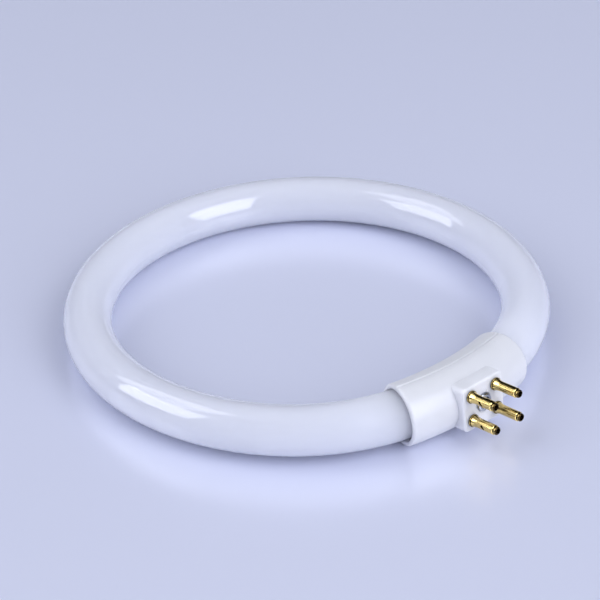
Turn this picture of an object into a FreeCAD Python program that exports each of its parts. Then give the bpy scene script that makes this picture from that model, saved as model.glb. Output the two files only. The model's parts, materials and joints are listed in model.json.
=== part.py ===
import FreeCAD, Part
import math
import os
from types import SimpleNamespace

import Sketcher

# Circular fluorescent tube: a glass ring whose two sealed ends meet inside a two-part moulded base
# with four hollow contact pins. Millimetres and degrees.
# The origin is the ring's centre, in the middle plane of the tube. +Z is up, and the base is at +X.
# The base has a frame of its own: its origin is on the tube's centreline, x points away from the ring's
# centre, y runs along the tube and z is up. The whole base is turned a little about that y.

DIMENSIONS = [
    ("ring_radius", 55.6, "ring's centre to the tube's centreline"),
    ("tube_diameter", 12.2, "outside of the glass"),
    ("base_set_back", 1.7, "how far the centreline is drawn in at the base"),
    ("base_bend_radius", 70.0, "flatter bend of the tube and the sleeve at the base"),
    ("base_bend_angle", 13.0, "half of the flatter bend"),
    ("seal_length", 3.1, "press seal, beyond the rounded end of the glass"),
    ("seal_thickness", 2.8, "press seal"),
    ("seal_margin", 0.9, "glass of the press seal beyond its two wires"),
    ("seal_round", 1.2, "edges of the press seal"),
    ("tube_end_round", 3.4, "rounding of the glass at its ends"),
    ("sleeve_length", 34.6, "along the centreline"),
    ("sleeve_wall", 1.0, "moulded wall"),
    ("sleeve_clearance", 0.6, "glass to the sleeve's bore"),
    ("sleeve_end_round", 0.7, "outer edge of the sleeve's mouths"),
    ("grip_clearance", 0.25, "glass to the ribs inside the sleeve"),
    ("grip_inset", 4.0, "sleeve's mouth to the rib"),
    ("grip_width", 1.2, "rib along the sleeve"),
    ("seam_offset", 0.3, "seam beyond the centreline, away from the ring's centre"),
    ("seam_gap", 0.1, "between the two halves"),
    ("seam_bevel", 0.25, "bevel along the seam"),
    ("base_swivel", 6.5, "pins tipped up about the tube"),
    ("boss_proud", 1.5, "boss face beyond the sleeve"),
    ("boss_margin", 1.0, "boss face beyond the pins' collars"),
    ("boss_corner_round", 1.2, "upright and level corners of the boss"),
    ("boss_edge_round", 0.5, "rim of the boss face"),
    ("post_diameter", 4.8, "screw post and the column that it meets"),
    ("post_set_back", 4.4, "boss face to where the post meets the column"),
    ("screw_diameter", 2.2, "screw's shank"),
    ("screw_length", 10.0, "under the head"),
    ("screw_point", 1.6, "tapered end of the screw"),
    ("screw_tip_diameter", 0.6, "blunt tip of the screw"),
    ("screw_hole_clearance", 0.2, "shank to the hole in the boss"),
    ("screw_grip_clearance", 0.02, "shank to the hole in the post"),
    ("screw_head_diameter", 4.6, "pan head"),
    ("screw_head_height", 1.5, "pan head"),
    ("screw_head_round", 0.6, "rim of the pan head"),
    ("screw_head_proud", 0.5, "head beyond the boss face"),
    ("screw_seat_clearance", 0.15, "head to its counterbore"),
    ("recess_span", 3.0, "cross recess, tip to tip"),
    ("recess_slot", 0.7, "width of each slot of the recess"),
    ("recess_depth", 0.9, "cross recess"),
    ("recess_turn", 45.0, "cross recess about the screw, as it was driven home"),
    ("pin_spacing_along", 7.92, "between pins, along the tube"),
    ("pin_spacing_up", 6.35, "between pins, up"),
    ("pin_diameter", 2.4, "shank"),
    ("pin_reach", 8.2, "boss face to the tip"),
    ("pin_tail", 4.2, "boss face to the inner end"),
    ("pin_bore", 1.3, "hole through the pin"),
    ("pin_seat_clearance", 0.02, "pin to its hole in the boss"),
    ("collar_diameter", 3.2, "rolled collar on the boss face"),
    ("collar_thickness", 0.65, "rolled collar"),
    ("collar_round", 0.25, "rims of the collar"),
    ("collar_foot", 2.9, "diameter of the taper where it leaves the collar"),
    ("collar_taper", 1.6, "hollow taper, from the collar down to the shank"),
    ("nose_diameter", 2.0, "bead at the tip"),
    ("nose_length", 0.85, "bead with its neck"),
    ("nose_round", 0.3, "front of the bead"),
    ("neck_diameter", 1.7, "neck behind the bead"),
    ("neck_width", 0.25, "neck behind the bead"),
    ("neck_bevel", 0.15, "end of the shank at the neck"),
    ("crimp_width", 0.6, "punched nick that grips the wire"),
    ("crimp_length", 1.3, "punched nick"),
    ("crimp_round", 0.25, "corners of the nick"),
    ("crimp_depth", 0.4, "punched nick"),
    ("crimp_slant", 45.0, "nick from upright, its foot towards the tip"),
    ("crimp_place", 4.2, "boss face to the nick's middle"),
    ("wire_diameter", 0.5, "lead wire"),
    ("wire_bend", 2.0, "bend of the lead wire"),
    ("wire_lead_out", 0.5, "straight wire beside the seal"),
    ("wire_set_in", 1.0, "pin's tip to the end of the wire"),
]


class Size:
    """A size as a number, with the expression that gives it from the sheet."""

    def __init__(self, number, text):
        self.number = number
        self.text = text

    def __add__(self, other):
        other = as_size(other)
        return Size(self.number + other.number, f"({self.text} + {other.text})")

    def __sub__(self, other):
        other = as_size(other)
        return Size(self.number - other.number, f"({self.text} - {other.text})")

    def __mul__(self, other):
        other = as_size(other)
        return Size(self.number * other.number, f"({self.text} * {other.text})")

    def __truediv__(self, other):
        other = as_size(other)
        return Size(self.number / other.number, f"({self.text} / {other.text})")

    def __neg__(self):
        return Size(-self.number, f"(0 - {self.text})")

    def across(self, offset):
        """Half the chord of a circle of this radius, at an offset from its centre."""
        return Size(
            math.sqrt(self.number**2 - offset.number**2),
            f"sqrt({self.text} * {self.text} - {offset.text} * {offset.text})",
        )

    def sine(self):
        return Size(math.sin(math.radians(self.number)), f"sin({self.text})")

    def cosine(self):
        return Size(math.cos(math.radians(self.number)), f"cos({self.text})")


def as_size(value):
    if isinstance(value, Size):
        return value
    return Size(value, str(value))


ZERO = as_size(0)
FULL_TURN = as_size(360)
# A cut that goes right through runs on past the mouths of the sleeve by this share of its length
BORE_OVERRUN = 1.5
# How far an arc's middle lies from its tangents' corner, as a share of its radius
ARC_CUT = 1 - math.sqrt(0.5)

doc = FreeCAD.newDocument("circular_tube")
sheet = doc.addObject("Spreadsheet::Sheet", "Sizes")
for row, (alias, number, note) in enumerate(DIMENSIONS, 1):
    sheet.set(f"A{row}", note)
    sheet.set(f"B{row}", str(number))
    sheet.setAlias(f"B{row}", alias)
doc.recompute()
size = SimpleNamespace(**{alias: Size(number, f"Sizes.{alias}") for alias, number, note in DIMENSIONS})

# Sizes that follow from the sheet
tube_radius = size.tube_diameter / 2
bore_radius = tube_radius + size.sleeve_clearance
sleeve_radius = bore_radius + size.sleeve_wall
grip_radius = tube_radius + size.grip_clearance
base_reach = size.ring_radius - size.base_set_back
boss_face = sleeve_radius + size.boss_proud
boss_width = size.pin_spacing_along + size.collar_diameter + size.boss_margin * 2
boss_height = size.pin_spacing_up + size.collar_diameter + size.boss_margin * 2
post_radius = size.post_diameter / 2
post_top = boss_face - size.post_set_back
screw_radius = size.screw_diameter / 2
screw_seat = boss_face + size.screw_head_proud - size.screw_head_height
screw_tip = screw_seat - size.screw_length
pin_radius = size.pin_diameter / 2
pin_along = size.pin_spacing_along / 2
pin_up = size.pin_spacing_up / 2
seal_end = pin_along + size.wire_bend + size.wire_lead_out
seal_width = size.pin_spacing_up + size.wire_diameter + size.seal_margin * 2
tube_end = seal_end + size.seal_length
degrees_per_arc = as_size(180) / (size.base_bend_radius * math.pi)
sleeve_angle = size.sleeve_length * degrees_per_arc
rib_outer_angle = (size.sleeve_length - size.grip_inset * 2) * degrees_per_arc
rib_inner_angle = rib_outer_angle - size.grip_width * 2 * degrees_per_arc


def new_body(name):
    body = doc.addObject("PartDesign::Body", name)
    body.Label = name
    return body


def place_on_base(body, x=ZERO, y=ZERO, z=ZERO):
    """Put a body's own origin at a point of the base's frame."""
    swivel = size.base_swivel
    body.Placement = FreeCAD.Placement(
        FreeCAD.Vector(), FreeCAD.Rotation(FreeCAD.Vector(0, 1, 0), -swivel.number)
    )
    place_x = base_reach + x * swivel.cosine() - z * swivel.sine()
    place_z = x * swivel.sine() + z * swivel.cosine()
    body.setExpression("Placement.Base.x", place_x.text)
    body.setExpression("Placement.Base.y", y.text)
    body.setExpression("Placement.Base.z", place_z.text)
    body.setExpression("Placement.Rotation.Angle", f"-{swivel.text}")


# Sketches

def new_sketch(body, name, plane, lift=ZERO):
    """A sketch on one of the body's own origin planes, lifted along that plane's normal."""
    sketch = body.newObject("Sketcher::SketchObject", name)
    support = [f for f in body.Origin.OriginFeatures if f.Role == plane][0]
    sketch.AttachmentSupport = [(support, "")]
    sketch.MapMode = "FlatFace"
    sketch.setExpression("AttachmentOffset.Base.z", lift.text)
    return sketch


def turn_sketch(sketch, angle):
    """Turn a sketch about its own origin."""
    sketch.AttachmentOffset.Rotation = FreeCAD.Rotation(FreeCAD.Vector(0, 0, 1), angle.number)
    sketch.setExpression("AttachmentOffset.Rotation.Angle", angle.text)


def bind(sketch, constraint, target):
    """Add a dimension and tie it to the sheet."""
    index = sketch.addConstraint(constraint)
    sketch.setExpression(f"Constraints[{index}]", target.text)


def fix_point(sketch, geometry, vertex, x, y):
    """Dimension a vertex from the sketch's origin."""
    for kind, axis, along in (("DistanceX", -2, x), ("DistanceY", -1, y)):
        if along.number == 0:
            sketch.addConstraint(Sketcher.Constraint("PointOnObject", geometry, vertex, axis))
        elif along.number > 0:
            bind(sketch, Sketcher.Constraint(kind, -1, 1, geometry, vertex, along.number), along)
        else:
            bind(sketch, Sketcher.Constraint(kind, geometry, vertex, -1, 1, -along.number), -along)


def flat(x, y):
    return FreeCAD.Vector(x.number, y.number, 0)


def draw_circle(sketch, x, y, radius):
    circle = Part.Circle(flat(x, y), FreeCAD.Vector(0, 0, 1), radius.number)
    index = sketch.addGeometry(circle)
    fix_point(sketch, index, 3, x, y)
    bind(sketch, Sketcher.Constraint("Radius", index, radius.number), radius)


def draw_round(sketch, radius, side):
    """A circle about the sketch's origin as three arcs, with the middle of one on the side named."""
    near, up = radius * (side / 2), radius * math.sqrt(0.75)
    draw_outline(
        sketch,
        [
            (near, -up, radius, (radius.number * side, 0)),
            (near, up, radius, (-near.number, up.number)),
            (-radius * side, ZERO, radius, (-near.number, -up.number)),
        ],
    )


def draw_outline(sketch, corners):
    """A closed outline. A corner is (x, y) or (x, y, radius, (via_x, via_y)).

    The longer form makes an arc from the corner to the next one, by way of the point named last.
    """
    indices = []
    for place, corner in enumerate(corners):
        following = corners[(place + 1) % len(corners)]
        start = flat(*corner[:2])
        end = flat(*following[:2])
        if len(corner) == 2:
            indices.append(sketch.addGeometry(Part.LineSegment(start, end)))
            continue
        arc = Part.Arc(start, FreeCAD.Vector(*corner[3], 0), end)
        indices.append(sketch.addGeometry(arc))
    for place, corner in enumerate(corners):
        first, last = arc_ends(sketch, indices[place], corner)
        following = corners[(place + 1) % len(corners)]
        next_first = arc_ends(sketch, indices[(place + 1) % len(corners)], following)[0]
        joined = (indices[place], last, indices[(place + 1) % len(corners)], next_first)
        sketch.addConstraint(Sketcher.Constraint("Coincident", *joined))
        fix_point(sketch, indices[place], first, *corner[:2])
        if len(corner) > 2:
            radius = corner[2]
            bind(sketch, Sketcher.Constraint("Radius", indices[place], radius.number), radius)


def arc_ends(sketch, index, corner):
    """Which vertex of a segment is at its corner and which at the next: an arc always turns one way."""
    gap = sketch.getPoint(index, 1) - flat(*corner[:2])
    return (1, 2) if gap.Length < 1e-6 else (2, 1)


def draw_rectangle(sketch, width, height):
    half_w, half_h = width / 2, height / 2
    draw_outline(sketch, [(-half_w, -half_h), (half_w, -half_h), (half_w, half_h), (-half_w, half_h)])


def draw_rounded(sketch, middle, half_w, half_h, radius):
    """A rectangle with round corners, its middle on the sketch's x axis."""
    corners = []
    for turn_x, turn_y in ((1, 1), (-1, 1), (-1, -1), (1, -1)):
        side_x, end_x = middle + half_w * turn_x, middle + (half_w - radius) * turn_x
        side_y, end_y = (half_h - radius) * turn_y, half_h * turn_y
        cut = radius * ARC_CUT
        via = ((side_x - cut * turn_x).number, (end_y - cut * turn_y).number)
        if turn_x * turn_y > 0:
            corners += [(side_x, side_y, radius, via), (end_x, end_y)]
        else:
            corners += [(end_x, end_y, radius, via), (side_x, side_y)]
    draw_outline(sketch, corners)


def draw_bend_axis(sketch):
    """The axis of the flatter bend, an upright construction line towards the ring's centre."""
    x, top = -size.base_bend_radius, size.tube_diameter
    index = sketch.addGeometry(Part.LineSegment(flat(x, ZERO), flat(x, top)), True)
    fix_point(sketch, index, 1, x, ZERO)
    fix_point(sketch, index, 2, x, top)


# Features

def extrude(body, kind, sketch, length, symmetric=False, flip=False):
    feature = body.newObject(f"PartDesign::{kind}", f"{sketch.Name}_{kind.lower()}")
    feature.Profile = sketch
    feature.setExpression("Length", length.text)
    feature.SideType = "Symmetric" if symmetric else "One side"
    feature.Reversed = flip
    return feature


def revolve(body, kind, sketch, axis, angle):
    """Turn a sketch about an axis by an angle, half to each side of the sketch."""
    feature = body.newObject(f"PartDesign::{kind}", f"{sketch.Name}_{kind.lower()}")
    feature.Profile = sketch
    feature.ReferenceAxis = (sketch, [axis])
    feature.Midplane = True
    feature.setExpression("Angle", angle.text)
    return feature


def round_edges(body, name, wanted, radius):
    """Fillet the edges of the body's newest shape that pass a test."""
    doc.recompute()
    base = body.Tip
    edges = [f"Edge{i}" for i, edge in enumerate(base.Shape.Edges, 1) if wanted(edge)]
    if not edges:
        raise RuntimeError(f"{name}: no edge to round on {body.Label}")
    feature = body.newObject("PartDesign::Fillet", name)
    feature.Base = (base, edges)
    feature.setExpression("Radius", radius.text)
    return feature


def along_axis(edge, axis):
    """True for a straight edge that runs along X, Y or Z, given as 0, 1 or 2."""
    if edge.Curve.TypeId != "Part::GeomLine":
        return False
    return abs(abs(edge.Curve.Direction[axis]) - 1) < 1e-6


def edge_spread(edge, axis):
    """Lowest and highest coordinate of an edge along X, Y or Z."""
    box = edge.BoundBox
    return ((box.XMin, box.XMax), (box.YMin, box.YMax), (box.ZMin, box.ZMax))[axis]


# Sub-parts

def draw_ring(sketch):
    """The tube's centreline: a main arc, a flatter arc at the base and a shoulder arc on each side of it."""
    reach, bend = base_reach.number, size.base_bend_radius.number
    ring, half = size.ring_radius.number, math.radians(size.base_bend_angle.number)
    bend_centre = FreeCAD.Vector(reach - bend, 0, 0)
    meet = bend_centre + FreeCAD.Vector(math.cos(half), math.sin(half), 0) * bend
    # The shoulder leaves the flatter arc along its tangent, and meets the main arc along its tangent too
    lean = meet.x * math.cos(half) + meet.y * math.sin(half)
    shoulder = (ring**2 - meet.Length**2) / (2 * (ring - lean))
    centre = meet - FreeCAD.Vector(math.cos(half), math.sin(half), 0) * shoulder
    join = math.atan2(centre.y, centre.x)
    below = FreeCAD.Vector(centre.x, -centre.y, 0)
    arcs = [
        (bend_centre, bend, -half, half),
        (centre, shoulder, half, join),
        (FreeCAD.Vector(), ring, join, math.pi),
        (FreeCAD.Vector(), ring, math.pi, 2 * math.pi - join),
        (below, shoulder, -join, -half),
    ]
    indices = []
    for middle, radius, first, last in arcs:
        circle = Part.Circle(middle, FreeCAD.Vector(0, 0, 1), radius)
        indices.append(sketch.addGeometry(Part.ArcOfCircle(circle, first, last)))
    flat_arc, upper, main, main_below, lower = indices
    for joined in ((flat_arc, upper), (upper, main), (main_below, lower), (lower, flat_arc)):
        sketch.addConstraint(Sketcher.Constraint("Tangent", joined[0], 2, joined[1], 1))
    sketch.addConstraint(Sketcher.Constraint("Coincident", main, 2, main_below, 1))
    sketch.addConstraint(Sketcher.Constraint("PointOnObject", main, 2, -1))
    fix_point(sketch, main, 3, ZERO, ZERO)
    fix_point(sketch, main_below, 3, ZERO, ZERO)
    fix_point(sketch, flat_arc, 3, base_reach - size.base_bend_radius, ZERO)
    bind(sketch, Sketcher.Constraint("Radius", main, ring), size.ring_radius)
    bind(sketch, Sketcher.Constraint("Radius", flat_arc, bend), size.base_bend_radius)
    flat_half = size.base_bend_radius * size.base_bend_angle.sine()
    bind(sketch, Sketcher.Constraint("DistanceY", -1, 1, flat_arc, 2, meet.y), flat_half)
    bind(sketch, Sketcher.Constraint("DistanceY", flat_arc, 1, -1, 1, meet.y), flat_half)


def make_glass_tube():
    """The glass ring, parted at the base, with rounded ends and a flat press seal on each."""
    body = new_body("glass_tube")
    path = new_sketch(body, "ring_path", "XY_Plane")
    draw_ring(path)
    section = new_sketch(body, "tube_section", "XZ_Plane")
    draw_circle(section, -size.ring_radius, ZERO, tube_radius)
    pipe = body.newObject("PartDesign::AdditivePipe", "ring")
    pipe.Profile = section
    pipe.Spine = (path, [])
    cut_gap(body, "tube_gap", tube_end)
    end = tube_end.number
    round_edges(
        body,
        "tube_ends",
        lambda edge: edge_spread(edge, 0)[0] > 0
        and all(abs(abs(y) - end) < 1e-4 for y in edge_spread(edge, 1)),
        size.tube_end_round,
    )
    # The two press seals are one flat bar across the gap, parted in its middle
    seal = new_sketch(body, "press_seal", "XZ_Plane")
    # The bend has drawn the tube's ends in towards the ring's centre, and the seals with them
    middle = base_reach - size.base_bend_radius + size.base_bend_radius.across(tube_end)
    draw_rounded(seal, middle, size.seal_thickness / 2, seal_width / 2, size.seal_round)
    extrude(body, "Pad", seal, (tube_end + size.tube_end_round) * 2, symmetric=True)
    cut_gap(body, "seal_gap", seal_end)
    return body


def cut_gap(body, name, half_gap):
    """Clear a slot through the ring at the base, to the same distance on both sides of its middle."""
    sketch = new_sketch(body, name, "XZ_Plane")
    near, far = base_reach - size.tube_diameter, base_reach + bore_radius
    draw_outline(
        sketch, [(near, -bore_radius), (far, -bore_radius), (far, bore_radius), (near, bore_radius)]
    )
    extrude(body, "Pocket", sketch, half_gap * 2, symmetric=True)


def add_sleeve(body, side):
    """The bent sleeve, solid and whole, with its mouths rounded."""
    section = new_sketch(body, "sleeve_section", "XZ_Plane")
    draw_round(section, sleeve_radius, side)
    draw_bend_axis(section)
    revolve(body, "Revolution", section, "Axis0", sleeve_angle)
    radius = sleeve_radius.number

    def at_mouth(edge):
        curve = edge.Curve
        return curve.TypeId == "Part::GeomCircle" and abs(curve.Radius - radius) < 1e-4

    round_edges(body, "mouth_edges", at_mouth, size.sleeve_end_round)


def hollow_sleeve(body, side):
    """Clear the bore, and leave a rib near each mouth that grips the glass."""
    bore = new_sketch(body, "bore_section", "XZ_Plane")
    draw_round(bore, bore_radius, side)
    draw_bend_axis(bore)
    revolve(body, "Groove", bore, "Axis0", sleeve_angle * BORE_OVERRUN)
    rib = new_sketch(body, "rib_section", "XZ_Plane")
    draw_round(rib, bore_radius + size.sleeve_wall / 2, side)
    draw_round(rib, grip_radius, side)
    draw_bend_axis(rib)
    revolve(body, "Revolution", rib, "Axis0", rib_outer_angle)
    relief = new_sketch(body, "relief_section", "XZ_Plane")
    draw_round(relief, bore_radius, side)
    draw_bend_axis(relief)
    revolve(body, "Groove", relief, "Axis0", rib_inner_angle)


def part_at_seam(body, side):
    """Keep one half of the sleeve: side 1 is away from the ring's centre, and -1 towards it.

    A bevel runs along the seam where it meets the outside.
    """
    seam = size.seam_offset if side > 0 else size.seam_offset - size.seam_gap
    foot = sleeve_radius.across(seam + size.seam_bevel * side) - size.seam_bevel
    top = sleeve_radius + size.sleeve_wall
    far, brink = -top * side, seam + (top - foot) * side
    cut = new_sketch(body, "seam_cut", "XZ_Plane")
    draw_outline(cut, [(far, -top), (brink, -top), (seam, -foot), (seam, foot), (brink, top), (far, top)])
    draw_bend_axis(cut)
    revolve(body, "Groove", cut, "Axis0", sleeve_angle * BORE_OVERRUN)


def drill(body, name, radius, start, depth, holes=((ZERO, ZERO),)):
    """Cut round holes towards the ring's centre, from a level of the base's x inwards."""
    sketch = new_sketch(body, name, "YZ_Plane", start)
    for y, z in holes:
        draw_circle(sketch, y, z, radius)
    extrude(body, "Pocket", sketch, depth)


def make_outer_shell():
    """The half of the base away from the ring's centre, with the boss that carries pins and screw."""
    body = new_body("base_outer_shell")
    place_on_base(body)
    add_sleeve(body, 1)
    boss = new_sketch(body, "boss_outline", "YZ_Plane")
    draw_rectangle(boss, boss_width, boss_height)
    extrude(body, "Pad", boss, boss_face)
    face = boss_face.number
    round_edges(
        body,
        "boss_corners",
        lambda edge: along_axis(edge, 0) and abs(edge_spread(edge, 0)[1] - face) < 1e-6,
        size.boss_corner_round,
    )
    round_edges(
        body,
        "boss_rim",
        lambda edge: all(abs(x - face) < 1e-6 for x in edge_spread(edge, 0)),
        size.boss_edge_round,
    )
    hollow_sleeve(body, 1)
    part_at_seam(body, 1)
    column = new_sketch(body, "column", "YZ_Plane", post_top)
    draw_circle(column, ZERO, ZERO, post_radius)
    extrude(body, "Pad", column, boss_face - size.boss_proud - post_top)
    clear = screw_radius + size.screw_hole_clearance
    drill(body, "screw_hole", clear, boss_face, boss_face)
    seat_radius = size.screw_head_diameter / 2 + size.screw_seat_clearance
    drill(body, "screw_seat", seat_radius, boss_face, boss_face - screw_seat)
    pins = [(pin_along * j, pin_up * k) for j in (-1, 1) for k in (-1, 1)]
    drill(body, "pin_holes", pin_radius + size.pin_seat_clearance, boss_face, boss_face, pins)
    return body


def make_inner_shell():
    """The half of the base on the ring's inside, with the post that takes the screw."""
    body = new_body("base_inner_shell")
    place_on_base(body)
    add_sleeve(body, -1)
    hollow_sleeve(body, -1)
    part_at_seam(body, -1)
    root = bore_radius + size.sleeve_wall / 2
    post = new_sketch(body, "post", "YZ_Plane", -root)
    draw_circle(post, ZERO, ZERO, post_radius)
    extrude(body, "Pad", post, root + post_top)
    grip = screw_radius + size.screw_grip_clearance
    drill(body, "thread_hole", grip, post_top, post_top - screw_tip + screw_radius)
    return body


def make_screw():
    """Pan-head screw with a cross recess, its axis along the base's x and its seat at its own origin."""
    body = new_body("clamp_screw")
    place_on_base(body, x=screw_seat)
    head_radius, head, edge = size.screw_head_diameter / 2, size.screw_head_height, size.screw_head_round
    tip = -size.screw_length
    cut = edge * ARC_CUT
    rim_mid = ((head - cut).number, (head_radius - cut).number)
    profile = new_sketch(body, "screw_profile", "XZ_Plane")
    draw_outline(
        profile,
        [
            (tip, ZERO),
            (tip, size.screw_tip_diameter / 2),
            (tip + size.screw_point, screw_radius),
            (ZERO, screw_radius),
            (ZERO, head_radius),
            (head - edge, head_radius, edge, rim_mid),
            (head, head_radius - edge),
            (head, ZERO),
        ],
    )
    revolve(body, "Revolution", profile, "H_Axis", FULL_TURN)
    recess = new_sketch(body, "cross_recess", "YZ_Plane", head)
    turn_sketch(recess, size.recess_turn)
    tip_out, slot = size.recess_span / 2, size.recess_slot / 2
    cross = []
    for turn_y, turn_z in ((1, 1), (-1, 1), (-1, -1), (1, -1)):
        slot_y, slot_z = slot * turn_y, slot * turn_z
        corner = [(tip_out * turn_y, slot_z), (slot_y, slot_z), (slot_y, tip_out * turn_z)]
        cross += corner if turn_y * turn_z > 0 else corner[::-1]
    draw_outline(recess, cross)
    extrude(body, "Pocket", recess, size.recess_depth)
    return body


def make_pin(number, side_along, side_up):
    """Hollow contact pin, its axis along the base's x and the boss face at its own origin."""
    body = new_body(f"contact_pin_{number}")
    place_on_base(body, boss_face, pin_along * side_along, pin_up * side_up)
    bore, collar, foot = size.pin_bore / 2, size.collar_diameter / 2, size.collar_foot / 2
    nose, neck = size.nose_diameter / 2, size.neck_diameter / 2
    tip, edge, rim, thick = size.pin_reach, size.nose_round, size.collar_round, size.collar_thickness
    shoulder = tip - size.nose_length
    bead = shoulder + size.neck_width
    cut, rim_cut = edge * ARC_CUT, rim * ARC_CUT
    rim_out = (collar - rim_cut).number
    # The hollow taper is an arc that runs into the shank along its tangent
    taper, drop = size.collar_taper, foot - pin_radius
    hollow = (taper * taper + drop * drop) / (drop * 2)
    hollow_mid = ((thick + taper / 2).number, (pin_radius + hollow - hollow.across(taper / 2)).number)
    profile = new_sketch(body, "pin_profile", "XZ_Plane")
    draw_outline(
        profile,
        [
            (-size.pin_tail, bore),
            (-size.pin_tail, pin_radius),
            (ZERO, pin_radius),
            (ZERO, collar - rim, rim, (rim_cut.number, rim_out)),
            (rim, collar),
            (thick - rim, collar, rim, ((thick - rim_cut).number, rim_out)),
            (thick, collar - rim),
            (thick, foot, hollow, hollow_mid),
            (thick + taper, pin_radius),
            (shoulder - size.neck_bevel, pin_radius),
            (shoulder, neck),
            (bead, neck),
            (bead, nose),
            (tip - edge, nose, edge, ((tip - cut).number, (nose - cut).number)),
            (tip, nose - edge),
            (tip, bore),
        ],
    )
    revolve(body, "Revolution", profile, "H_Axis", FULL_TURN)
    # The nick is punched aslant, on the side of the pin that faces out along the tube
    nick = new_sketch(body, "crimp_nick", "XZ_Plane", pin_radius * -side_along)
    nick.setExpression("AttachmentOffset.Base.x", size.crimp_place.text)
    turn_sketch(nick, size.crimp_slant)
    draw_rounded(nick, ZERO, size.crimp_width / 2, size.crimp_length / 2, size.crimp_round)
    extrude(body, "Pocket", nick, size.crimp_depth, flip=side_along > 0)
    return body


def make_wire(number, side_along, side_up):
    """Lead wire: out of the press seal along the tube, round one bend and up the middle of its pin."""
    body = new_body(f"lead_wire_{number}")
    place_on_base(body, z=pin_up * side_up)
    far = boss_face + size.pin_reach - size.wire_set_in
    bend, along = size.wire_bend, pin_along * side_along
    turn = along + bend * side_along
    route = new_sketch(body, "wire_route", "XY_Plane")
    mid = (bend * ARC_CUT).number, (along + bend * (side_along * ARC_CUT)).number
    run = route.addGeometry(Part.LineSegment(flat(far, along), flat(bend, along)))
    arc = route.addGeometry(Part.Arc(flat(bend, along), FreeCAD.Vector(*mid, 0), flat(ZERO, turn)))
    out = route.addGeometry(Part.LineSegment(flat(ZERO, turn), flat(ZERO, seal_end * side_along)))
    first, last = arc_ends(route, arc, (bend, along))
    fix_point(route, run, 1, far, along)
    fix_point(route, run, 2, bend, along)
    fix_point(route, out, 1, ZERO, turn)
    fix_point(route, out, 2, ZERO, seal_end * side_along)
    route.addConstraint(Sketcher.Constraint("Coincident", run, 2, arc, first))
    route.addConstraint(Sketcher.Constraint("Coincident", out, 1, arc, last))
    bind(route, Sketcher.Constraint("Radius", arc, bend.number), bend)
    section = new_sketch(body, "wire_section", "YZ_Plane", far)
    draw_circle(section, along, ZERO, size.wire_diameter / 2)
    pipe = body.newObject("PartDesign::AdditivePipe", "wire")
    pipe.Profile = section
    pipe.Spine = (route, [])
    return body


def check(bodies):
    """Stop if anything in the document failed, or if a sub-part isn't one sound solid."""
    for item in doc.Objects:
        if "Invalid" in item.State or "Error" in item.State:
            raise RuntimeError(f"{item.Name} failed: {item.State}")
    for body in bodies:
        shape = body.Shape
        if shape.isNull() or not shape.isValid() or len(shape.Solids) != 1:
            raise RuntimeError(f"{body.Label} is not one sound solid")


def main():
    bodies = [make_glass_tube(), make_outer_shell(), make_inner_shell(), make_screw()]
    corners = [(-1, 1), (1, 1), (-1, -1), (1, -1)]
    for number, (side_along, side_up) in enumerate(corners, 1):
        bodies.append(make_pin(number, side_along, side_up))
        bodies.append(make_wire(number, side_along, side_up))
    doc.recompute()
    check(bodies)
    os.makedirs("parts", exist_ok=True)
    for body in bodies:
        body.Shape.exportStep(f"parts/{body.Label}.step")
        print(f"{body.Label}: {body.Shape.Volume:.2f} mm3, {len(body.Shape.Faces)} faces")


main()
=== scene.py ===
"""Finishes and studio stage of a ring-shaped fluorescent lamp.

The lamp's pieces come with the frame, in metres. Each operator here dresses one group of like pieces,
and the last one sets up the floor, the light and the camera.
"""

import json
import math

import bpy
from mathutils import Matrix, Vector


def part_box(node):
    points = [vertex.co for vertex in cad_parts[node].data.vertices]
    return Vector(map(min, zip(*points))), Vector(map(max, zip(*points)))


bl_info = {
    "name": "Ring lamp",
    "version": (1, 0, 0),
    "blender": (4, 5, 0),
    "location": "3D View > Sidebar > Ring lamp",
    "description": "Finishes of a ring-shaped fluorescent lamp, and a small studio to see it in",
    "category": "Object",
}

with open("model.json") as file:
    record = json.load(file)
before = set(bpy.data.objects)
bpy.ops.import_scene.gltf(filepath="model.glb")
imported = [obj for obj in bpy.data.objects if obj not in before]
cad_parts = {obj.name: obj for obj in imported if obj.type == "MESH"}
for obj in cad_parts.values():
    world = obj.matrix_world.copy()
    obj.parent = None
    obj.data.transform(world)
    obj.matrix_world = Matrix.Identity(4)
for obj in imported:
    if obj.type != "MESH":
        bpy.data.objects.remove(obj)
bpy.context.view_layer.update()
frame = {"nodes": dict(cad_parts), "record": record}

SHELLS = ("base_outer_shell", "base_inner_shell")
PINS = tuple(f"contact_pin_{number}" for number in range(1, 5))
WIRES = tuple(f"lead_wire_{number}" for number in range(1, 5))
# Name, azimuth, elevation and roll in degrees as the camera sees them, and width and height at a distance
# of a metre. Then two shares of the stage's settings: of the light on matt surfaces, and of the light that
# glossy ones mirror.
SOFTBOXES = (
    ("left", -103.0, 33.0, 10.0, 0.66, 0.54, 1.0, 0.95),
    ("left_top", -77.0, 56.0, 26.0, 0.56, 0.54, 0.6, 0.55),
    ("right", 130.0, 32.0, -16.0, 0.58, 1.0, 1.54, 1.05),
)
# The ceiling and the fill have the same shape as a softbox. Glossy surfaces mirror only the ceiling, and the
# fill lights only matt ones.
CEILING = (0.0, 78.0, 0.0, 1.1, 1.1)
CEILING_GLEAM_SHARE = 0.07
FILL = (180.0, 60.0, 0.0, 1.6, 1.6)
# In metres. Lamps at one place would hide each other, so the two kinds stand at different distances.
MATT_DISTANCE = 2.4
MIRRORED_DISTANCE = 2.6
# An area light of this many watts a square metre shows a mirror a radiance of one
WATTS_PER_RADIANCE = 4.0
# Metres
FLOOR_SIZE = 8.0
# The painted shade behind the pins' collars fades over this many metres
PAINTED_SHADE_FADE = 0.0001
MILLIMETRE = 0.001
# Pixels along each side of the photograph
PHOTO_SIDE = 600
# The Mix node's sockets for colours
MIX_FIRST, MIX_SECOND, MIX_RESULT = 6, 7, 2


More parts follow.
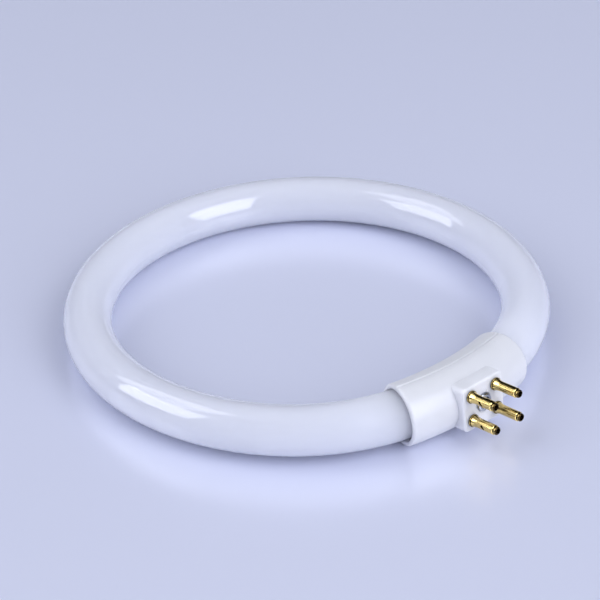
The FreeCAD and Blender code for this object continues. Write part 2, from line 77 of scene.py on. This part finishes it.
def mount(name):
    """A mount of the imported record."""
    return next(m for m in frame["record"]["mounts"] if m["name"] == name)


# The base is turned about the tube, so its pins point a little upwards
PIN_MOUNTS = [mount(f"pin_{number}") for number in range(1, 5)]
PIN_AXIS = Vector(PIN_MOUNTS[0]["axis"])
PIN_RADIUS = PIN_MOUNTS[0]["dims"]["r_mm"] * MILLIMETRE
BASE_SWIVEL = math.atan2(PIN_AXIS.z, PIN_AXIS.x)
# The middle of the four pins, and how far each lies from it along the tube and up
PINS_MIDDLE = sum((Vector(pin["pos_m"]) for pin in PIN_MOUNTS), Vector()) / len(PIN_MOUNTS)
PIN_ASIDE = Matrix.Rotation(BASE_SWIVEL, 3, "Y") @ (Vector(PIN_MOUNTS[1]["pos_m"]) - PINS_MIDDLE)


# Settings

class GlassSettings(bpy.types.PropertyGroup):
    """The coated glass ring."""

    coat_colour: bpy.props.FloatVectorProperty(
        name="Coat colour",
        description="Milky coat on the inside of the glass",
        subtype="COLOR",
        min=0.0,
        max=1.0,
        default=(0.625, 0.64, 0.74),
    )
    thin_colour: bpy.props.FloatVectorProperty(
        name="Thin coat colour",
        description="Coat where it is a little thinner",
        subtype="COLOR",
        min=0.0,
        max=1.0,
        default=(0.61, 0.627, 0.73),
    )
    gloss: bpy.props.FloatProperty(
        name="Gloss roughness",
        description="Roughness of the clear glass over the coat",
        subtype="FACTOR",
        min=0.0,
        max=1.0,
        default=0.03,
    )
    dull_gloss: bpy.props.FloatProperty(
        name="Dull roughness",
        description="Roughness of the glass next to the base, where it keeps the right softbox from showing",
        subtype="FACTOR",
        min=0.0,
        max=1.0,
        default=0.25,
    )
    shine: bpy.props.FloatProperty(
        name="Shine",
        description="Specular level of the clear glass over the coat",
        subtype="FACTOR",
        min=0.0,
        max=1.0,
        default=0.5,
    )
    dull_shine: bpy.props.FloatProperty(
        name="Dull shine",
        description="Specular level of the glass next to the base, lowered for the same reason",
        subtype="FACTOR",
        min=0.0,
        max=1.0,
        default=0.02,
    )
    dull_reach: bpy.props.FloatProperty(
        name="Dull reach",
        description="Duller glass beyond each mouth of the base",
        unit="LENGTH",
        min=0.0,
        default=0.022,
    )
    scatter: bpy.props.FloatProperty(
        name="Scatter",
        description="How far light travels inside the milky tube",
        unit="LENGTH",
        min=0.0,
        default=0.03,
    )
    ripple: bpy.props.FloatProperty(
        name="Ripple height",
        description="Waviness of the drawn and bent glass",
        unit="LENGTH",
        min=0.0,
        default=0.00004,
    )


class BaseSettings(bpy.types.PropertyGroup):
    """The two moulded halves of the base."""

    colour: bpy.props.FloatVectorProperty(
        name="Plastic colour",
        description="White moulded plastic",
        subtype="COLOR",
        min=0.0,
        max=1.0,
        default=(0.835, 0.84, 0.895),
    )
    roughness: bpy.props.FloatProperty(
        name="Roughness",
        description="Satin surface left by the mould",
        subtype="FACTOR",
        min=0.0,
        max=1.0,
        default=0.32,
    )
    scatter: bpy.props.FloatProperty(
        name="Scatter",
        description="How far light travels inside the white plastic",
        unit="LENGTH",
        min=0.0,
        default=0.004,
    )
    grain: bpy.props.FloatProperty(
        name="Grain height",
        description="Fine unevenness of the moulded surface",
        unit="LENGTH",
        min=0.0,
        default=0.000012,
    )


class MetalSettings(bpy.types.PropertyGroup):
    """Pins, screw and wires."""

    brass: bpy.props.FloatVectorProperty(
        name="Brass",
        description="Drawn brass of the contact pins",
        subtype="COLOR",
        min=0.0,
        max=1.0,
        default=(0.81, 0.62, 0.24),
    )
    # Painted shade on the pins, and a painted dark reflection on their noses: dark brass in the bores, necks
    # and nicks, and in the corners of the collars
    painted_shade: bpy.props.FloatVectorProperty(
        name="Tarnish",
        description="Dark brass in the pins' bores, necks and nicks, and in the corners of their collars",
        subtype="COLOR",
        min=0.0,
        max=1.0,
        default=(0.07, 0.045, 0.015),
    )
    # Painted shade in the pins' bores, necks and nicks, and a painted dark reflection on their noses, all
    # below the shank's surface
    shade_depth: bpy.props.FloatProperty(
        name="Clean depth",
        description="Brass lower than this under the shank's surface darkens, up to twice as deep",
        unit="LENGTH",
        min=0.0,
        default=0.00014,
    )
    # Painted shade in the collar's corner against the boss face
    collar_foot: bpy.props.FloatProperty(
        name="Collar foot",
        description="Tarnished corner of the collar, from the boss face",
        unit="LENGTH",
        min=0.0,
        default=0.00034,
    )
    # Painted shade in the groove in front of the collar
    collar_groove: bpy.props.FloatProperty(
        name="Collar groove",
        description="Boss face to the tarnished groove in front of the collar",
        unit="LENGTH",
        min=0.0,
        default=0.00066,
    )
    # Width of the groove's painted shade
    groove_width: bpy.props.FloatProperty(
        name="Groove width",
        description="Tarnished groove in front of the collar",
        unit="LENGTH",
        min=0.0,
        default=0.00022,
    )
    grip_reach: bpy.props.FloatProperty(
        name="Grip reach",
        description="Boss face to the middle of the length that a contact grips",
        unit="LENGTH",
        min=0.0,
        default=0.004725,
    )
    steel: bpy.props.FloatVectorProperty(
        name="Steel",
        description="Plated steel of the clamp screw",
        subtype="COLOR",
        min=0.0,
        max=1.0,
        default=(0.52, 0.54, 0.59),
    )
    nickel: bpy.props.FloatVectorProperty(
        name="Nickel",
        description="Bare lead wires",
        subtype="COLOR",
        min=0.0,
        max=1.0,
        default=(0.58, 0.55, 0.50),
    )


class StageSettings(bpy.types.PropertyGroup):
    """Floor, light and camera."""

    floor_colour: bpy.props.FloatVectorProperty(
        name="Floor colour",
        description="Pale satin table top",
        subtype="COLOR",
        min=0.0,
        max=1.0,
        default=(0.715, 0.74, 0.90),
    )
    floor_roughness: bpy.props.FloatProperty(
        name="Floor roughness",
        description="Roughness of the satin table top",
        subtype="FACTOR",
        min=0.0,
        max=1.0,
        default=0.28,
    )
    floor_ior: bpy.props.FloatProperty(
        name="Floor IOR",
        description="How strongly the table top mirrors",
        min=1.0,
        default=2.4,
    )
    room_colour: bpy.props.FloatVectorProperty(
        name="Room light",
        description="Even light from all round",
        subtype="COLOR",
        min=0.0,
        max=1.0,
        default=(0.88, 0.91, 1.0),
    )
    room_strength: bpy.props.FloatProperty(
        name="Room strength",
        description="Level of the even light",
        min=0.0,
        default=0.48,
    )
    fill_strength: bpy.props.FloatProperty(
        name="Fill strength",
        description="Radiance of the wide soft light above the camera",
        min=0.0,
        default=0.2,
    )
    box_strength: bpy.props.FloatProperty(
        name="Softbox strength",
        description="Radiance of a softbox as it lights matt surfaces, before its share",
        min=0.0,
        default=1.78,
    )
    gleam_strength: bpy.props.FloatProperty(
        name="Gleam strength",
        description="Radiance of a softbox as glossy surfaces mirror it, before its share",
        min=0.0,
        default=4.6,
    )
    lens: bpy.props.FloatProperty(
        name="Lens",
        description="Focal length of the camera, on a sensor 36 mm wide",
        unit="CAMERA",
        min=1.0,
        default=126.96,
    )
    distance: bpy.props.FloatProperty(
        name="Camera distance",
        description="Camera to the ring's centre",
        unit="LENGTH",
        min=0.0,
        default=0.53867,
    )
    elevation: bpy.props.FloatProperty(
        name="Camera elevation",
        description="Camera above the plane of the ring",
        subtype="ANGLE",
        default=math.radians(31.609),
    )
    azimuth: bpy.props.FloatProperty(
        name="Camera azimuth",
        description="Camera round the ring, from the side of -Y towards the pins",
        subtype="ANGLE",
        default=math.radians(49.8),
    )
    roll: bpy.props.FloatProperty(
        name="Camera roll",
        description="Camera turned clockwise about its own axis",
        subtype="ANGLE",
        default=math.radians(2.173),
    )
    ring_pixel: bpy.props.FloatVectorProperty(
        name="Ring centre",
        description="Where the ring's centre falls, in pixels right of and below the middle of the picture",
        size=2,
        default=(6.13, 4.66),
    )


# Finishes

class Finish:
    """A material whose surface shader is wired node by node, on Object coordinates."""

    def __init__(self, name):
        self.material = bpy.data.materials.new(name)
        self.material.use_nodes = True
        self.tree = self.material.node_tree
        self.surface = self.tree.nodes["Principled BSDF"]
        self.place = self.add("ShaderNodeTexCoord").outputs["Object"]

    def add(self, kind, inputs=None, **settings):
        """Add a node. Inputs are numbers, colours or the outputs of other nodes, by socket name."""
        node = self.tree.nodes.new(kind)
        for key, value in settings.items():
            setattr(node, key, value)
        self.wire(node, inputs or {})
        return node

    def wire(self, node, inputs):
        """Set a node's inputs, or link them to the outputs of other nodes."""
        for name, value in inputs.items():
            if isinstance(value, bpy.types.NodeSocket):
                self.tree.links.new(value, node.inputs[name])
            else:
                node.inputs[name].default_value = value

    def base_place(self, squeeze=(1.0, 1.0, 1.0)):
        """Coordinates of the base: from the middle of the pins, with x along them."""
        inputs = {
            "Vector": self.place,
            "Location": PINS_MIDDLE,
            "Rotation": (0.0, -BASE_SWIVEL, 0.0),
            "Scale": [1 / factor for factor in squeeze],
        }
        return self.add("ShaderNodeMapping", inputs, vector_type="TEXTURE").outputs["Vector"]

    def vector(self, operation, first, second=(0.0, 0.0, 0.0)):
        """A sum on vectors."""
        node = self.add("ShaderNodeVectorMath", {0: first, 1: second}, operation=operation)
        return node.outputs["Value" if operation == "LENGTH" else "Vector"]

    def math(self, operation, first, second=0.0):
        """A sum on numbers."""
        return self.add("ShaderNodeMath", {0: first, 1: second}, operation=operation).outputs["Value"]

    def step_down(self, value, full, none):
        """One up to a value, and nothing beyond another."""
        inputs = {"Value": value, "From Min": full, "From Max": none, "To Min": 1.0, "To Max": 0.0}
        return self.add("ShaderNodeMapRange", inputs, interpolation_type="SMOOTHSTEP").outputs["Result"]

    def noise(self, scale, detail=2.0, place=None):
        """Smooth noise, with a scale in lumps per metre."""
        inputs = {"Vector": place or self.place, "Scale": scale, "Detail": detail}
        return self.add("ShaderNodeTexNoise", inputs).outputs["Fac"]

    def blend(self, factor, first, second):
        """A colour from the first, a colour or another node's output, to the second, a colour."""
        if not isinstance(first, bpy.types.NodeSocket):
            first = (*first, 1.0)
        inputs = {"Factor": factor, MIX_FIRST: first, MIX_SECOND: (*second, 1.0)}
        return self.add("ShaderNodeMix", inputs, data_type="RGBA").outputs[MIX_RESULT]

    def span(self, value, low, high):
        """A value of 0 to 1 spread between two limits."""
        inputs = {"Value": value, "From Min": 0.25, "From Max": 0.75, "To Min": low, "To Max": high}
        return self.add("ShaderNodeMapRange", inputs).outputs["Result"]

    def bump(self, height, distance, under=None):
        """A bump of a real height in metres."""
        inputs = {"Height": height, "Distance": distance, "Strength": 1.0}
        if under:
            inputs["Normal"] = under
        return self.add("ShaderNodeBump", inputs).outputs["Normal"]


def shade(colour, factor):
    """A darker colour."""
    return tuple(channel * factor for channel in colour)


def coated_glass(glass):
    """Clear glossy glass over a milky coat that passes light on.

    Next to the base it is duller than the real glass, so that the right softbox doesn't show there.
    """
    finish = Finish("coated_glass_finish")
    clouds = finish.noise(38.0, 3.0)
    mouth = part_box("base_inner_shell")[1].y
    along = finish.add("ShaderNodeSeparateXYZ", {"Vector": finish.place}).outputs
    from_base = finish.math("ABSOLUTE", along["Y"])
    near = finish.step_down(from_base, mouth + glass.dull_reach * 0.2, mouth + glass.dull_reach)
    dull = finish.math("MULTIPLY", near, finish.math("GREATER_THAN", along["X"], 0.0))
    polish = finish.span(finish.noise(70.0), glass.gloss, glass.gloss * 1.6)
    roughness = finish.math("MAXIMUM", polish, finish.math("MULTIPLY", dull, glass.dull_gloss))
    shine_range = {"Value": dull, "To Min": glass.shine, "To Max": glass.dull_shine}
    shine = finish.add("ShaderNodeMapRange", shine_range).outputs["Result"]
    finish.wire(
        finish.surface,
        {
            "Base Color": finish.blend(finish.span(clouds, 0.0, 1.0), glass.coat_colour, glass.thin_colour),
            "Roughness": roughness,
            "Specular IOR Level": shine,
            "IOR": 1.52,
            "Subsurface Weight": 1.0,
            "Subsurface Radius": (1.0, 1.0, 1.0),
            "Subsurface Scale": glass.scatter,
            "Normal": finish.bump(finish.noise(55.0, 1.0), glass.ripple),
        },
    )
    return finish.material


def moulded_plastic(base):
    """White satin plastic with the fine grain of the mould."""
    finish = Finish("base_plastic_finish")
    cloud = finish.span(finish.noise(160.0, 3.0), 0.0, 1.0)
    grain = finish.bump(finish.noise(2600.0, 4.0), base.grain)
    finish.wire(
        finish.surface,
        {
            "Base Color": finish.blend(cloud, base.colour, shade(base.colour, 0.965)),
            "Roughness": finish.span(finish.noise(420.0, 3.0), base.roughness * 0.85, base.roughness * 1.2),
            "IOR": 1.5,
            "Subsurface Weight": 0.6,
            "Subsurface Radius": (1.0, 1.0, 1.0),
            "Subsurface Scale": base.scatter,
            "Normal": finish.bump(finish.noise(240.0, 2.0), base.grain * 2.0, grain),
        },
    )
    return finish.material


def drawn_metal(name, colour, roughness, lines):
    """Metal drawn along the pins' axis: faint lines of a depth in metres along it, and uneven polish."""
    finish = Finish(name)
    streak = finish.noise(260.0, 3.0, finish.base_place((1.0, 14.0, 14.0)))
    cloud = finish.span(finish.noise(700.0, 3.0), 0.0, 1.0)
    finish.wire(
        finish.surface,
        {
            "Base Color": finish.blend(cloud, colour, shade(colour, 0.8)),
            "Metallic": 1.0,
            "Roughness": finish.span(streak, roughness * 0.75, roughness * 1.4),
            "Normal": finish.bump(streak, lines),
        },
    )
    return finish


def paint_pin_shade(finish, metal):
    """Painted shade: darken brass that lies below the shank's surface, and the corners of the collars; on
    the noses it is a painted dark reflection.
    """
    place = finish.base_place()
    corner = finish.vector("ABSOLUTE", place)
    aside = finish.vector("SUBTRACT", corner, (0.0, abs(PIN_ASIDE.y), abs(PIN_ASIDE.z)))
    radius = finish.vector("LENGTH", finish.vector("MULTIPLY", aside, (0.0, 1.0, 1.0)))
    along = finish.add("ShaderNodeSeparateXYZ", {"Vector": place}).outputs["X"]
    from_groove = finish.math("ABSOLUTE", finish.math("ADD", along, metal.grip_reach - metal.collar_groove))
    shade_start = PIN_RADIUS - metal.shade_depth
    foot = metal.collar_foot - metal.grip_reach
    # Painted shade in bores, necks and nicks, and a painted dark reflection on the noses
    deep = finish.step_down(radius, shade_start - metal.shade_depth * 0.85, shade_start)
    # Painted shade in the collar's corner against the boss
    behind = finish.step_down(along, foot, foot + PAINTED_SHADE_FADE)
    # Painted shade in the groove in front of the collar
    groove = finish.step_down(from_groove, metal.groove_width * 0.3, metal.groove_width * 0.7)
    dark = finish.math("MAXIMUM", finish.math("MAXIMUM", deep, behind), groove)
    unshaded_colour = finish.surface.inputs["Base Color"].links[0].from_socket
    finish.wire(finish.surface, {"Base Color": finish.blend(dark, unshaded_colour, metal.painted_shade)})


def dress(names, material):
    """Give CAD nodes a finish."""
    for name in names:
        for material_slot in frame["nodes"][name].material_slots:
            material_slot.material = material


# Operators

class RINGLAMP_OT_glass(bpy.types.Operator):
    """Dress the glass ring"""

    bl_idname = "ringlamp.glass"
    bl_label = "Glass ring"

    def execute(self, context):
        dress(["glass_tube"], coated_glass(context.scene.ringlamp_glass))
        return {"FINISHED"}


class RINGLAMP_OT_base(bpy.types.Operator):
    """Dress the two halves of the base"""

    bl_idname = "ringlamp.base"
    bl_label = "Base"

    def execute(self, context):
        dress(SHELLS, moulded_plastic(context.scene.ringlamp_base))
        return {"FINISHED"}


class RINGLAMP_OT_pins(bpy.types.Operator):
    """Dress the contact pins"""

    bl_idname = "ringlamp.pins"
    bl_label = "Contact pins"

    def execute(self, context):
        metal = context.scene.ringlamp_metal
        finish = drawn_metal("pin_brass_finish", metal.brass, roughness=0.15, lines=0.000003)
        paint_pin_shade(finish, metal)
        dress(PINS, finish.material)
        return {"FINISHED"}


class RINGLAMP_OT_screw(bpy.types.Operator):
    """Dress the clamp screw"""

    bl_idname = "ringlamp.screw"
    bl_label = "Clamp screw"

    def execute(self, context):
        metal = context.scene.ringlamp_metal
        finish = drawn_metal("screw_steel_finish", metal.steel, roughness=0.2, lines=0.000003)
        dress(["clamp_screw"], finish.material)
        return {"FINISHED"}


class RINGLAMP_OT_wires(bpy.types.Operator):
    """Dress the lead wires"""

    bl_idname = "ringlamp.wires"
    bl_label = "Lead wires"

    def execute(self, context):
        metal = context.scene.ringlamp_metal
        finish = drawn_metal("lead_wire_finish", metal.nickel, roughness=0.3, lines=0.000002)
        dress(WIRES, finish.material)
        return {"FINISHED"}


# Stage

def seen_from(azimuth, elevation):
    """Unit vector from the ring. Azimuth 0 is beyond it for the camera, 90 right and 180 on its own side."""
    turn = bpy.context.scene.ringlamp_stage.azimuth
    flat = Vector((math.sin(azimuth), math.cos(azimuth), 0.0)) * math.cos(elevation)
    return Matrix.Rotation(turn, 3, "Z") @ (flat + Vector((0.0, 0.0, math.sin(elevation))))


def add_softbox(name, azimuth, elevation, roll, width, height, radiance, distance):
    """A rectangular soft light that looks at the ring. Radiance is what a mirror shows of it."""
    light = bpy.data.lights.new(name, "AREA")
    light.shape = "RECTANGLE"
    light.size = width * distance
    light.size_y = height * distance
    light.energy = radiance * light.size * light.size_y * WATTS_PER_RADIANCE
    light.color = bpy.context.scene.ringlamp_stage.room_colour
    lamp = bpy.data.objects.new(name, light)
    lamp.visible_camera = False
    bpy.context.scene.collection.objects.link(lamp)
    direction = seen_from(math.radians(azimuth), math.radians(elevation))
    turned = direction.to_track_quat("Z", "Y").to_matrix() @ Matrix.Rotation(math.radians(roll), 3, "Z")
    lamp.matrix_world = Matrix.Translation(direction * distance) @ turned.to_4x4()
    return lamp


def add_glow(name, shape, radiance):
    """A soft light that only matt surfaces show."""
    add_softbox(name, *shape, radiance, MATT_DISTANCE).visible_glossy = False


def add_gleam(name, shape, radiance):
    """A soft light that only glossy surfaces show."""
    add_softbox(name, *shape, radiance, MIRRORED_DISTANCE).visible_diffuse = False


def add_floor(stage):
    """A satin table top that touches the sleeve of the base and the far side of the glass."""
    sleeve_low = min(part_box(name)[0].z for name in SHELLS)
    sleeve_x = sum(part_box("base_inner_shell")[side].x for side in (0, 1)) / 2
    glass_low, glass_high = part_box("glass_tube")
    tube_radius = (glass_high.z - glass_low.z) / 2
    far_x = glass_low.x + tube_radius
    tilt = math.atan2(glass_low.z - sleeve_low, sleeve_x - far_x)
    bpy.ops.object.select_all(action="DESELECT")
    bpy.ops.mesh.primitive_plane_add(size=FLOOR_SIZE)
    floor = bpy.context.object
    floor.name = "floor"
    turn = Matrix.Rotation(tilt, 4, "Y")
    floor.data.transform(Matrix.Translation((sleeve_x, 0.0, sleeve_low)) @ turn)
    finish = Finish("floor_finish")
    cloud = finish.span(finish.noise(3.0, 2.0), 0.0, 1.0)
    finish.wire(
        finish.surface,
        {
            "Base Color": finish.blend(cloud, stage.floor_colour, shade(stage.floor_colour, 0.985)),
            "Roughness": stage.floor_roughness,
            "IOR": stage.floor_ior,
        },
    )
    floor.data.materials.append(finish.material)


def add_room(stage):
    """Even light from all round."""
    world = bpy.data.worlds.new("studio")
    bpy.context.scene.world = world
    world.use_nodes = True
    background = world.node_tree.nodes["Background"]
    background.inputs["Color"].default_value = (*stage.room_colour, 1.0)
    background.inputs["Strength"].default_value = stage.room_strength
    # Beyond the softboxes the studio is dark, as the tops of the pins show
    world.cycles_visibility.glossy = False


def add_camera(stage):
    """The camera at the photograph's angle, with the ring's centre where the photograph has it."""
    lens = bpy.data.cameras.new("camera")
    lens.sensor_width = 36.0
    lens.lens = stage.lens
    camera = bpy.data.objects.new("camera", lens)
    scene = bpy.context.scene
    scene.collection.objects.link(camera)
    turn = Matrix.Rotation(stage.azimuth, 3, "Z")
    right = turn @ Vector((1.0, 0.0, 0.0))
    forward = turn @ Vector((0.0, math.cos(stage.elevation), -math.sin(stage.elevation)))
    up = right.cross(forward)
    metres_per_pixel = stage.distance * lens.sensor_width / lens.lens / PHOTO_SIDE
    place = -forward * stage.distance
    place += (up * stage.ring_pixel[1] - right * stage.ring_pixel[0]) * metres_per_pixel
    axis_x = right * math.cos(stage.roll) - up * math.sin(stage.roll)
    axis_y = right * math.sin(stage.roll) + up * math.cos(stage.roll)
    turned = Matrix((axis_x, axis_y, -forward)).transposed()
    camera.matrix_world = Matrix.Translation(place) @ turned.to_4x4()
    scene.camera = camera


class RINGLAMP_OT_stage(bpy.types.Operator):
    """Set up the floor, the light and the camera"""

    bl_idname = "ringlamp.stage"
    bl_label = "Stage"

    def execute(self, context):
        stage = context.scene.ringlamp_stage
        context.scene.view_settings.view_transform = "Standard"
        add_floor(stage)
        add_room(stage)
        for name, *shape, glow_share, gleam_share in SOFTBOXES:
            add_glow(f"softbox_{name}", shape, stage.box_strength * glow_share)
            add_gleam(f"gleam_{name}", shape, stage.gleam_strength * gleam_share)
        add_gleam("gleam_ceiling", CEILING, stage.gleam_strength * CEILING_GLEAM_SHARE)
        add_glow("fill", FILL, stage.fill_strength)
        add_camera(stage)
        return {"FINISHED"}


class RINGLAMP_PT_panel(bpy.types.Panel):
    """Ring lamp"""

    bl_label = "Ring lamp"
    bl_idname = "RINGLAMP_PT_panel"
    bl_space_type = "VIEW_3D"
    bl_region_type = "UI"
    bl_category = "Ring lamp"

    def draw(self, context):
        for operator in OPERATORS:
            self.layout.operator(operator.bl_idname)
        for group in SETTINGS:
            settings = getattr(context.scene, group)
            box = self.layout.box()
            for name in settings.bl_rna.properties.keys():
                if name not in ("rna_type", "name"):
                    box.prop(settings, name)


SETTINGS = {
    "ringlamp_glass": GlassSettings,
    "ringlamp_base": BaseSettings,
    "ringlamp_metal": MetalSettings,
    "ringlamp_stage": StageSettings,
}
OPERATORS = (
    RINGLAMP_OT_glass,
    RINGLAMP_OT_base,
    RINGLAMP_OT_pins,
    RINGLAMP_OT_screw,
    RINGLAMP_OT_wires,
    RINGLAMP_OT_stage,
)


def register():
    for kind in (*SETTINGS.values(), *OPERATORS, RINGLAMP_PT_panel):
        bpy.utils.register_class(kind)
    for name, kind in SETTINGS.items():
        setattr(bpy.types.Scene, name, bpy.props.PointerProperty(type=kind))


def unregister():
    for name in SETTINGS:
        delattr(bpy.types.Scene, name)
    for kind in (RINGLAMP_PT_panel, *reversed(OPERATORS), *reversed(SETTINGS.values())):
        bpy.utils.unregister_class(kind)


def main():
    """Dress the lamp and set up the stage."""
    register()
    bpy.ops.ringlamp.glass()
    bpy.ops.ringlamp.base()
    bpy.ops.ringlamp.pins()
    bpy.ops.ringlamp.screw()
    bpy.ops.ringlamp.wires()
    bpy.ops.ringlamp.stage()


if __name__ == "__main__":
    main()
